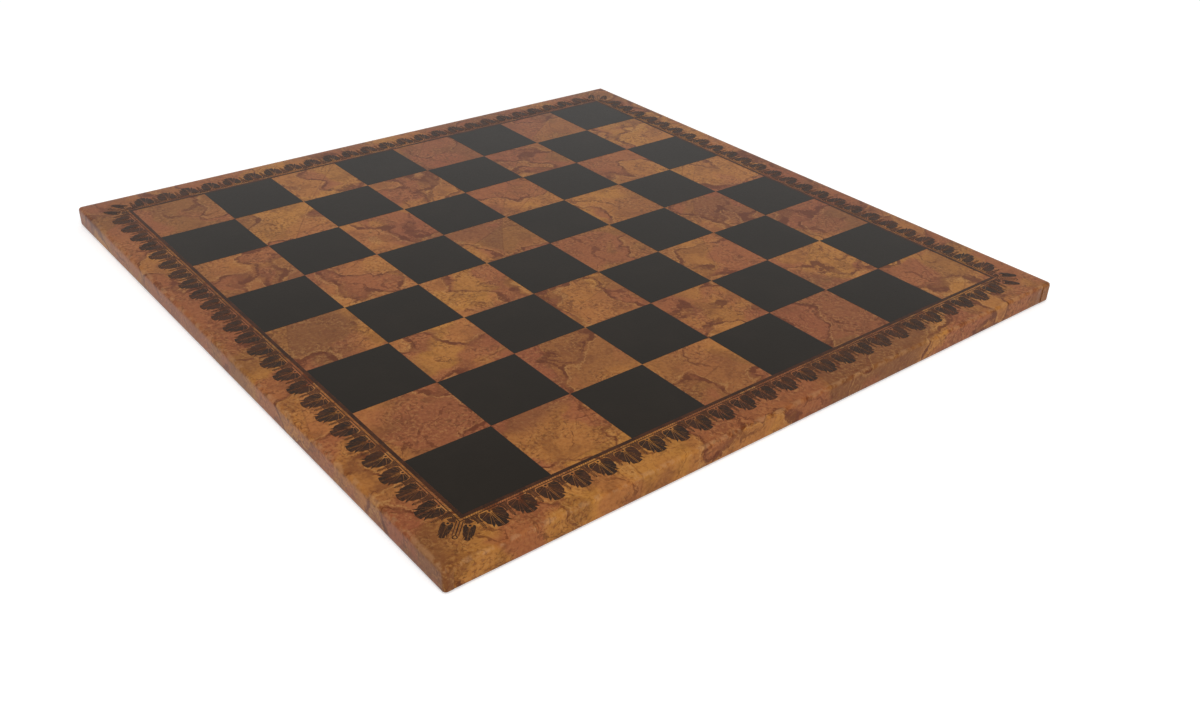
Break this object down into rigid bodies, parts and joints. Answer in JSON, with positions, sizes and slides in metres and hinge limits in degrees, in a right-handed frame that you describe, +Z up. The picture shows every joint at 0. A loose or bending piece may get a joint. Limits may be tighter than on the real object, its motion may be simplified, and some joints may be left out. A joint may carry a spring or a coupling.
{
  "type": "chessboard",
  "caption": "Square wrapped chessboard: a rigid panel in printed leatherette with chequered squares, a leaf border and a lined flat base.",
  "frame": {"origin": "middle of the underside, where the lining meets the table", "axes": "+Z up out of the playing field; -Y the front edge, a player's side; +X along that edge to the player's right"},
  "size_m": [0.4, 0.4, 0.0121],
  "materials": {
    "fibreboard": "matte",
    "leatherette": "satin",
    "lining": "matte",
    "black_print": "satin",
    "brown_print": "satin"
  },
  "bodies": {
    "root": {"core_panel": "fibreboard", "cover_sheet": "leatherette", "base_lining": "lining", "black_squares": "black_print", "field_outline": "brown_print", "border_front": "brown_print", "border_right": "brown_print", "border_back": "brown_print", "border_left": "brown_print", "corner_ornaments": "brown_print"}
  },
  "joints": []
}
